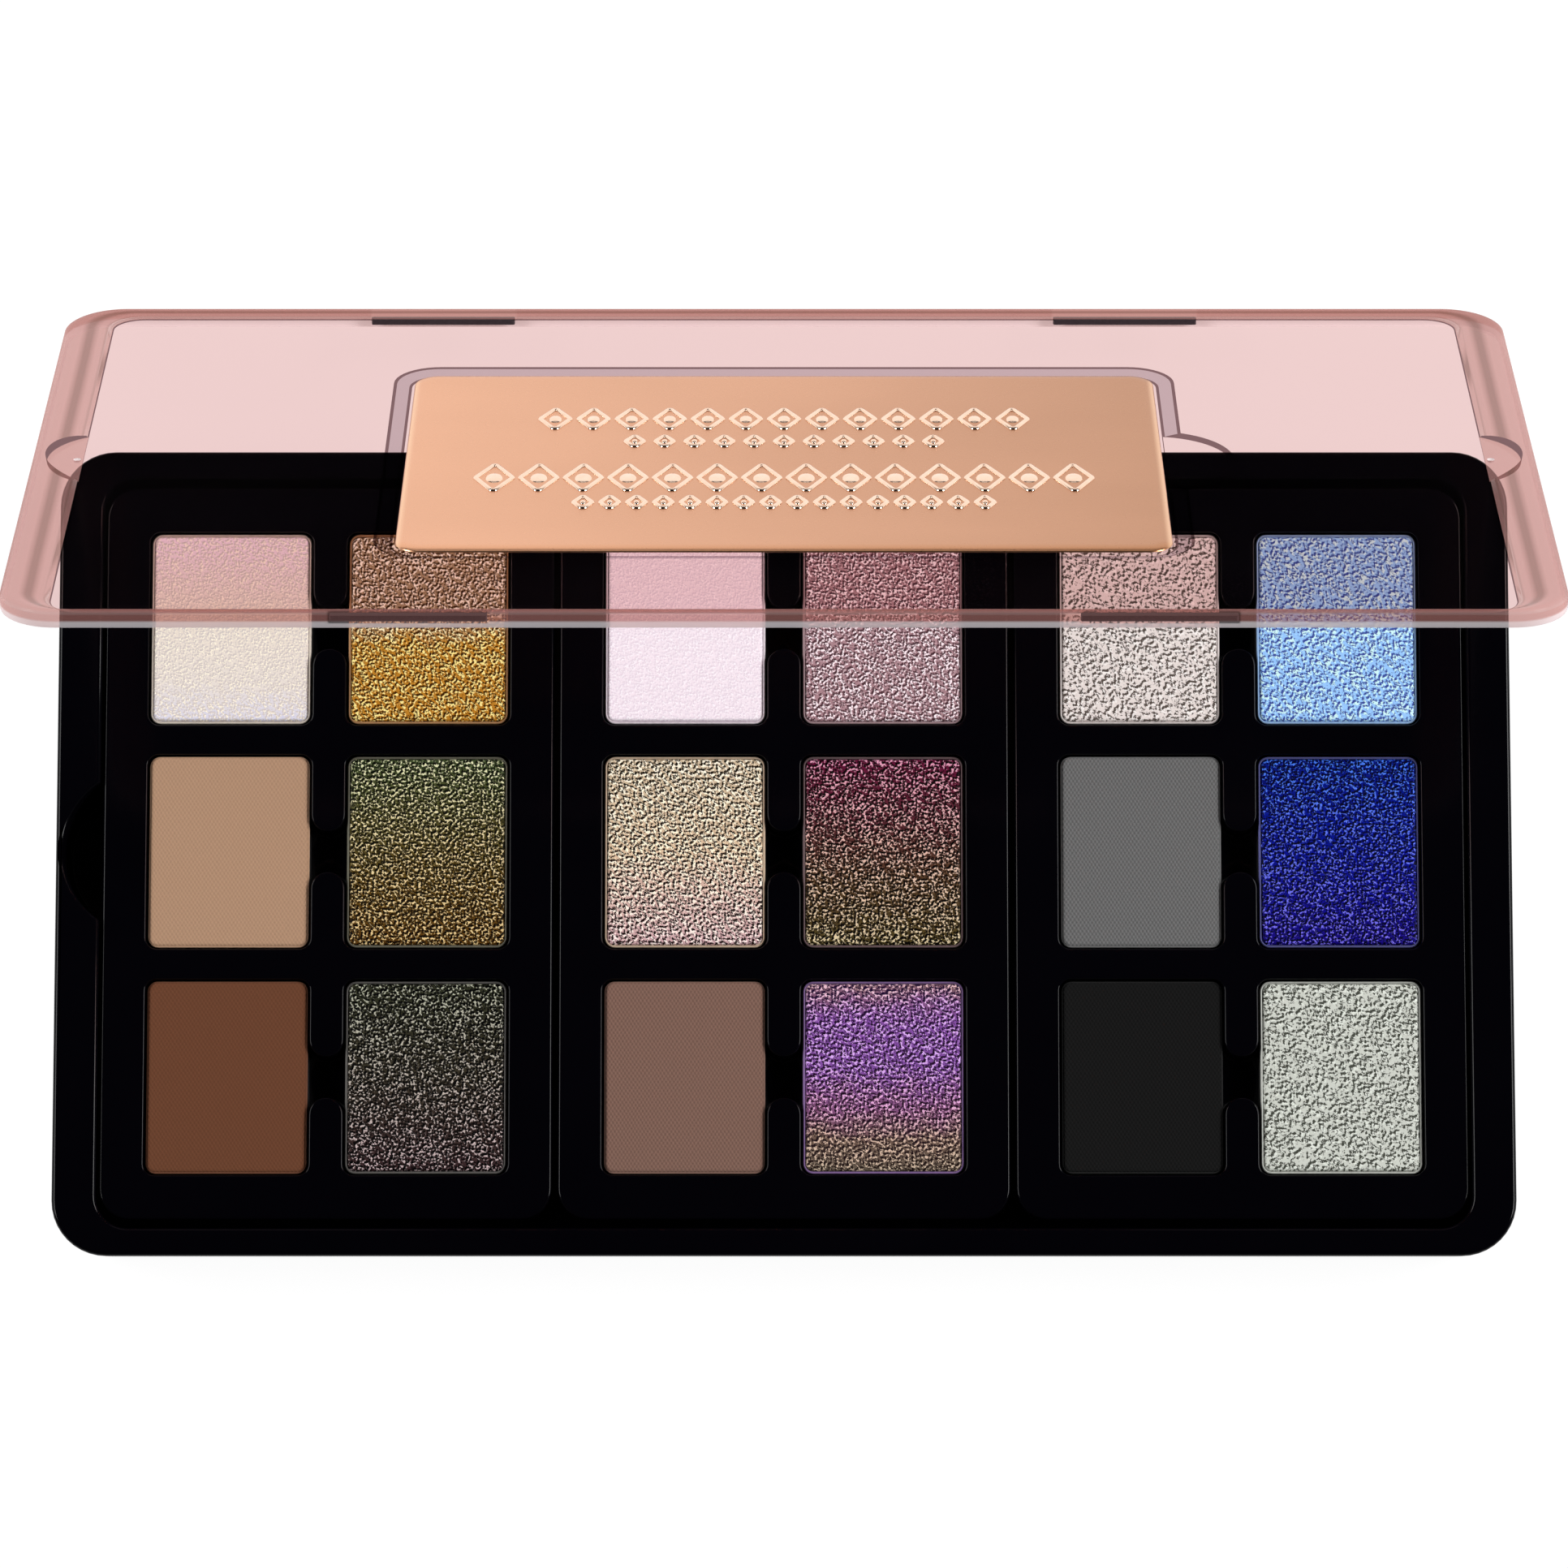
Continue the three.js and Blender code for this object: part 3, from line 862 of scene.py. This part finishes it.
def clear_sheet(name, tint):
    """Tinted clear plastic: each face takes its share of the tint, with a trace of gloss."""
    look = Finish(name, roughness=0.03, base_color=(0.0, 0.0, 0.0, 1.0))
    fresnel = look.add("ShaderNodeFresnel", None, {"IOR": 1.2})
    see_through(look, fresnel * look.noise(look.place(), 0.02, 2.0) * 0.02, tint)
    return look.material


def tinted_bead():
    """The bead looks deeper than the sheet, with painted bands of light and shade along its curve.
    The value "across" runs from -1 at the foot of the wall to 0 at the top edge and 1 inside;
    each band has its place on that run, its colour, and how much of the colour shows."""
    look = Finish("clear pink bead", roughness=0.12, specular_ior_level=0.08)
    across = look.add("ShaderNodeAttribute", {"attribute_name": "across"}, None, "Fac")
    # painted highlights and painted shade: a pale wall, a lighter line at the top edge, a dark band on the
    # inner slope, and dark and light lines at the inner edge
    stops = [
        (0.00, (0.90, 0.85, 0.88, 0.54)),
        (0.17, (0.88, 0.80, 0.82, 0.54)),
        (0.24, (0.50, 0.215, 0.195, 0.36)),
        (0.44, (0.50, 0.215, 0.195, 0.36)),
        (0.50, (0.55, 0.330, 0.310, 0.38)),
        (0.56, (0.50, 0.220, 0.200, 0.35)),
        (0.70, (0.50, 0.215, 0.195, 0.36)),
        (0.77, (0.21, 0.078, 0.058, 0.64)),
        (0.82, (0.21, 0.078, 0.058, 0.64)),
        (0.89, (0.50, 0.215, 0.195, 0.36)),
        (0.94, (0.50, 0.220, 0.200, 0.35)),
        (0.960, (0.26, 0.100, 0.080, 0.46)),
        (0.980, (0.60, 0.420, 0.400, 0.36)),
        (1.00, (0.30, 0.160, 0.150, 0.36)),
    ]
    x, _, _ = look.parts(look.place())
    over_magnet = abs(abs(x) - MAGNET_X).ramp(MAGNET_HALF + 0.5, MAGNET_HALF)
    in_wall = across.ramp(-0.74, -0.68) * across.ramp(0.14, 0.04)
    flow = look.noise(look.place((0.15, 0.15, 0.15)), 0.15, 2.0)
    color = look.add("ShaderNodeValToRGB", {"stops": stops},
                     {"Fac": across * 0.5 + 0.5 + (flow - 0.5) * 0.02})
    look.set(base_color=color)
    see_through(look, color.other(1) * (1 - over_magnet * in_wall * 0.7), BEAD_TINT)
    return look.material


def clear_wall(name, low, high, share):
    """More of the surface of short walls and dished places shows, in a painted colour: painted shade in the
    dished recess and a painted highlight on the dimple's bright rim.
    """
    look = Finish(name, roughness=0.10, specular_ior_level=0.1)
    flow = look.noise(look.place(), 0.2, 2.0)
    look.set(base_color=look.mix(flow, low, high))
    see_through(look, share + (flow - 0.5) * 0.08, BEAD_TINT)
    return look.material


SHEET, BEAD, WALL, DISH, DEEP, GLINT = range(6)
# the moulded walls and the pocket's slope get darker tints than the sheet, a painted shade; the dimple's
# wall is painted bright, a painted highlight
LID_LOOKS = [
    clear_sheet("clear pink sheet", (0.900, 0.768, 0.762)),
    tinted_bead(),
    clear_sheet("clear moulded wall", (0.24, 0.16, 0.17)),
    clear_wall("clear dished recess", (0.48, 0.205, 0.185), (0.54, 0.230, 0.210), 0.38),
    clear_sheet("clear pocket sheet", (0.60, 0.50, 0.53)),
    clear_wall("clear bright rim", (0.60, 0.56, 0.57), (0.85, 0.80, 0.80), 0.85),
]


def bead_outline(share):
    """Rings across the bead: 0 is the lid's outer edge, 1 the bead's inner edge."""
    width = LID["width"] + (BEAD_INNER["width"] - LID["width"]) * share
    depth = LID["depth"] + (BEAD_INNER["depth"] - LID["depth"]) * share
    corner = CASE_CORNER + (BEAD_INNER["corner"] - CASE_CORNER) * share
    return rounded_outline(width, depth, corner, steps=16)


def lid_outline(inset):
    return rounded_outline(LID["width"], LID["depth"], CASE_CORNER, inset, steps=16)


lid = Moulding()
thick, edge, panel = LID["thick"], LID["edge"], LID["panel"]
wall = [(0.5, -thick, -1.0), (0.12, 0.15 - thick, -0.95), (0.0, 0.5 - thick, -0.85),
        (0.0, -edge - 0.5, -0.45), (0.0, -edge, -0.2)]
bead = [lid.ring(lid_outline(inset), height, value) for inset, height, value in wall]
for step in range(1, 29):
    share = (step / 28) ** 1.4
    rise = math.sqrt(max(0.0, 1 - (1 - min(share / CREST, 1.0)) ** 2))
    fall = (max(0.0, share - CREST) / (1 - CREST)) ** 1.6
    bead.append(lid.ring(bead_outline(share), -edge + rise * 0.8 - fall * 0.9, share))
for lower, upper in zip(bead, bead[1:]):
    lid.bridge(lower, upper, BEAD)


def panel_outline(inset):
    return rounded_outline(*BEAD_INNER.values(), inset, steps=16)


step_down = [bead[-1]] + [lid.ring(panel_outline(inset), height, 0.85)
                          for inset, height in ((0.15, -panel + 0.12), (0.32, -panel))]
for (lower, upper), slot in zip(zip(step_down, step_down[1:]), (BEAD, WALL)):
    lid.bridge(lower, upper, slot)


def pocket_outline(inset):
    return rounded_outline(POCKET["width"], POCKET["depth"], POCKET["corner"], inset, steps=10)


pocket_steps = ((0.0, -panel), (0.45, -panel - 0.14), (2.2, -POCKET["floor"] + 0.1),
                (2.6, -POCKET["floor"]))
pocket = [lid.ring(pocket_outline(inset), height) for inset, height in pocket_steps]
for (lower, upper), slot in zip(zip(pocket, pocket[1:]), (WALL, DEEP, WALL)):
    lid.bridge(lower, upper, slot)
lid.cover(step_down[-1], pocket[0], slot=SHEET)
lid.cover(pocket[-1], slot=SHEET)
lid.cover(bead[0], slot=SHEET)


def carve(mesh, name, radius, floor, x, flare, slot=DISH, turns=64, side_slot=WALL):
    """Cuts a round recess, wider at the top by its flare, into the lid's outer face."""
    cutter = Moulding()
    clear_of_face = 2.0
    spread = radius + flare * clear_of_face / floor
    deep, wide = [arc(x, 0.0, r, 0, 360 * (1 - 1 / turns), turns - 1) for r in (radius - flare, spread)]
    low, high = cutter.ring(deep, -floor), cutter.ring(wide, clear_of_face)
    cutter.bridge(low, high, side_slot)
    cutter.cover(low, slot=slot)
    cutter.cover(high)
    tool = bpy.data.objects.new(name, cutter.mesh(name, LID_LOOKS))
    host = bpy.data.objects.new(name + "_host", mesh)
    for piece in (tool, host):
        scene.collection.objects.link(piece)
    cut = host.modifiers.new(name, "BOOLEAN")
    cut.operation, cut.solver, cut.object = "DIFFERENCE", "EXACT", tool
    graph = bpy.context.evaluated_depsgraph_get()
    result = bpy.data.meshes.new_from_object(host.evaluated_get(graph))
    for piece in (tool, host):
        bpy.data.objects.remove(piece)
    return result


def settle_across(mesh):
    """The points that a cut leaves on the bead take their value from where they lie."""
    values = mesh.attributes["across"].data
    for vertex in mesh.vertices:
        x, y, z = vertex.co / MM
        if abs(y) < CUT_REACH and abs(x) > BEAD_INNER["width"] / 2 and z > -edge:
            share = (LID["width"] / 2 - abs(x)) * 2 / (LID["width"] - BEAD_INNER["width"])
            values[vertex.index].value = share


lid_mesh = lid.mesh("lid_clear", LID_LOOKS, attribute="across")
for side, x in (("left", -1), ("right", 1)):
    lid_mesh = carve(lid_mesh, "recess_" + side, RECESS["radius"], panel - SKIM,
                     x * RECESS["from_middle"], RECESS["flare"])
    lid_mesh = carve(lid_mesh, "dimple_" + side, DIMPLE["radius"], panel + DIMPLE["depth"],
                     x * DIMPLE["from_middle"], DIMPLE["flare"], turns=20, side_slot=GLINT)
lid_mesh = carve(lid_mesh, "thumb_recess", THUMB["radius"], POCKET["floor"] - SKIM,
                 THUMB["from_middle"], THUMB["flare"], SHEET)
settle_across(lid_mesh)
lid_mesh.transform(LID_FRAME)
tidy_normals(lid_mesh, 40.0)
stand("lid_clear", lid_mesh, "lid", "clear_lid", "lid_shell").visible_shadow = False


# ---- Mixing plate ---------------------------------------------------------------------------
# A loose sheet-metal plate with softly pillowed edges, plated rose gold and finely brushed. It
# lies in the lid's pocket. Four rows of plain embossed lozenges and studs decorate it.

PLATE = {"width": 106.0, "depth": 67.8, "corner": 3.5, "low": -1.8, "top": -1.2}


def rose_gold():
    look = Finish("satin rose gold", metallic=1.0)
    streak = look.noise(look.place((0.3, 1.0, 1.0)), 6.0, 3.0)
    broad = look.noise(look.place((0.4, 1.0, 1.0)), 0.05, 2.0)
    x, _, _ = look.parts(look.place())
    # the face is painted lighter at the left and darker at the right: a painted falloff of light across the
    # plate, under the random brushed streaks
    shade = (0.48 - x * 0.0090 + (streak - 0.5) * 0.16 + (broad - 0.5) * 0.35).clipped()
    face = look.mix(shade, (0.52, 0.238, 0.116), (0.83, 0.415, 0.235))
    # the base colour is painted brighter along the left and right pillowed edges: a painted highlight
    edge = (abs(x) - PLATE["width"] / 2).ramp(-1.1, -0.1)
    look.set(
        base_color=look.mix(edge * 0.75, face, (1.0, 0.62, 0.38)),
        roughness=0.24 + streak * 0.10,
        normal=look.bump(streak, 0.002),
    )
    return look.material


def polished_rose_with_highlight():
    """The raised ornaments are polished smoother than the satin ground and painted a lighter rose gold, a
    painted highlight, so they stand out from it.
    """
    look = Finish("polished rose gold", metallic=1.0)
    wear = look.noise(look.place(), 0.8, 3.0)
    look.set(
        # both colours are lighter than the plate's: a painted highlight on the ornaments
        base_color=look.mix(wear, (0.95, 0.60, 0.42), (1.0, 0.80, 0.64)),
        roughness=0.12 + wear * 0.10,
        normal=look.bump(wear, 0.01),
    )
    return look.material


ROSE = rose_gold()
POLISHED_WITH_HIGHLIGHT = polished_rose_with_highlight()


def plate_outline(inset):
    return rounded_outline(PLATE["width"], PLATE["depth"], PLATE["corner"], inset, steps=12)


def emboss_recipe(material):
    """One row of raised ornaments: lozenge frames of round wire with a small stud in each."""
    tree = Recipe("embossed row", Count=12, Pitch=5.0, Tall=8.0, Wide=4.0, Wire=0.42, Stud=0.7,
                  Middle=(0.0, 0.0, 0.0), Finish=material)
    tall, wide, pitch, count = [tree.input(n) for n in ("Tall", "Wide", "Pitch", "Count")]
    line = tree.add("GeometryNodeMeshLine", None,
                    {"Count": count, "Offset": tree.vector(pitch, 0.0, 0.0)})
    kite = tree.add("GeometryNodeCurvePrimitiveQuadrilateral", {"mode": "KITE"},
                    {"Width": wide, "Bottom Height": tall / 2, "Top Height": tall / 2})
    kite = tree.add("GeometryNodeFilletCurve", {"mode": "POLY"},
                    {"Curve": kite, "Radius": 0.4, "Count": 3})
    wire = tree.add("GeometryNodeCurvePrimitiveCircle", None,
                    {"Resolution": 10, "Radius": tree.input("Wire")})
    frame_wire = tree.add("GeometryNodeCurveToMesh", None, {"Curve": kite, "Profile Curve": wire})
    ball = tree.add("GeometryNodeMeshUVSphere", None, {"Segments": 18, "Rings": 10, "Radius": 1.0})
    stud = tree.add("GeometryNodeTransform", None,
                    {0: ball, "Scale": tree.vector(tree.input("Stud"), tree.input("Stud") * 1.5, 0.4)})
    row = tree.add("GeometryNodeInstanceOnPoints", None,
                   {"Points": line, "Instance": tree.join(frame_wire, stud)})
    shift = tree.vector((count - 1) * pitch * -0.5, 0.0, 0.0)
    row = tree.add("GeometryNodeTransform", None, {0: row, "Translation": shift})
    row = tree.add("GeometryNodeTransform", None, {0: row, "Translation": tree.input("Middle")})
    tree.serve(row)
    return tree


plate = Moulding()
low, top = PLATE["low"], PLATE["top"]
cut_edge = [(0.2, low), (0.0, low + 0.12)]
pillow = roll((0.02, top - 0.46), (1.9, top), 12)
plate_rings = plate.rings(plate_outline, cut_edge + pillow + [(2.6, top)])
plate.cover(plate_rings[0])
plate.cover(plate_rings[-1])
emboss = emboss_recipe(POLISHED_WITH_HIGHLIGHT)
sunk = top - 0.12  # the ornaments' middle lies just below the plate's face
rows = (
    {"Count": 13, "Pitch": 5.4, "Tall": 8.4, "Wide": 4.3, "Stud": 1.0, "Middle": (0.0, 15.6, sunk)},
    {"Count": 11, "Pitch": 4.2, "Tall": 4.6, "Wide": 2.6, "Stud": 0.5, "Middle": (0.0, 6.8, sunk)},
    {"Count": 14, "Pitch": 6.2, "Tall": 10.4, "Wide": 5.2, "Stud": 1.3, "Middle": (0.0, -7.3, sunk)},
    {"Count": 16, "Pitch": 3.7, "Tall": 5.0, "Wide": 2.6, "Stud": 0.5, "Middle": (0.0, -16.6, sunk)},
)
whole = bmesh.new()
whole.from_mesh(plate.mesh("rose_plate", [ROSE]))
plain = len(whole.faces)
for index, row in enumerate(rows):
    ornament = emboss.make(f"emboss_{index}", **row)
    ornament.transform(Matrix.Scale(MM, 4))
    whole.from_mesh(ornament)
whole.faces.ensure_lookup_table()
for face in whole.faces[plain:]:
    face.material_index = 1
plate_mesh = bpy.data.meshes.new("rose_plate")
whole.to_mesh(plate_mesh)
whole.free()
for metal in (ROSE, POLISHED_WITH_HIGHLIGHT):
    plate_mesh.materials.append(metal)
plate_mesh.transform(LID_FRAME)
tidy_normals(plate_mesh)
stand("rose_plate", plate_mesh, "plate", "rose_gold", "mixing_plate").visible_shadow = False


# ---- Floor, light and camera -----------------------------------------------------------------
# A pale sweep that glows evenly, two long softboxes at the sides that draw the bright lines on
# the moulded edges, and a long lens almost straight above the open base.

def pale_floor():
    look = Finish("pale floor", roughness=0.9, specular_ior_level=0.0)
    tint = look.noise(look.place(), 0.002, 2.0)
    look.set(base_color=look.mix(tint, (0.10, 0.10, 0.10), (0.12, 0.12, 0.12)))
    look.set(emission_color=(1.0, 1.0, 1.0, 1.0), emission_strength=0.95)
    return look.material


FLOOR_HALF = 4.0
FLOOR_DROP = 0.0002  # the floor lies just under the case, so that their faces never coincide
floor_mesh = bpy.data.meshes.new("floor")
corners = [(x * FLOOR_HALF, y * FLOOR_HALF, 0) for x, y in ((-1, -1), (1, -1), (1, 1), (-1, 1))]
floor_mesh.from_pydata(corners, [], [(0, 1, 2, 3)])
floor_mesh.transform(Matrix.Translation((0.0, 0.0, -FLOOR_DROP)))
floor_mesh.materials.append(pale_floor())
floor = bpy.data.objects.new("floor", floor_mesh)
scene.collection.objects.link(floor)


def softbox(name, place, aim, width, height, power):
    light = bpy.data.lights.new(name, "AREA")
    light.shape, light.size, light.size_y, light.energy = "RECTANGLE", width, height, power
    box = bpy.data.objects.new(name, light)
    box.location = place
    box.rotation_euler = (Vector(aim) - Vector(place)).to_track_quat("-Z", "Y").to_euler()
    scene.collection.objects.link(box)


softbox("softbox_right", (1.1, 0.25, 0.8), (0, 0, 0), 1.0, 0.5, 22.0)
softbox("softbox_left", (-1.1, 0.25, 0.8), (0, 0, 0), 1.0, 0.5, 15.0)
softbox("softbox_back", (0.0, 0.9, 0.45), (0, 0, 0), 0.8, 0.3, 0.6)

world = bpy.data.worlds.new("studio")
world.use_nodes = True
scene.world = world
sky = Nodes(world.node_tree)
_, _, rise = sky.parts(sky.add("ShaderNodeTexCoord", None, None, "Generated"))
dusk = [(0.0, (0.16, 0.16, 0.17)), (0.3, (0.10, 0.10, 0.11)), (0.7, (0.012, 0.012, 0.016)),
        (1.0, (0.006, 0.006, 0.008))]
glow = sky.add("ShaderNodeValToRGB", {"stops": dusk}, {"Fac": rise})
sky.feed(world.node_tree.nodes["Background"].inputs["Color"], glow)

CAMERA_LEAN = math.radians(8.14)
CAMERA_REACH = 1.099
CAMERA_LENS = 174.8
lens = bpy.data.cameras.new("camera")
lens.lens, lens.sensor_width = CAMERA_LENS, 36.0
lens.clip_start, lens.clip_end = 0.05, 20.0
camera = bpy.data.objects.new("camera", lens)
aim = Vector((0.0, 0.0097, rim * MM))
camera.location = aim + CAMERA_REACH * Vector((0.0, -math.sin(CAMERA_LEAN), math.cos(CAMERA_LEAN)))
camera.rotation_euler = (CAMERA_LEAN, 0.0, 0.0)
scene.collection.objects.link(camera)
scene.camera = camera
scene.view_settings.view_transform = "Standard"
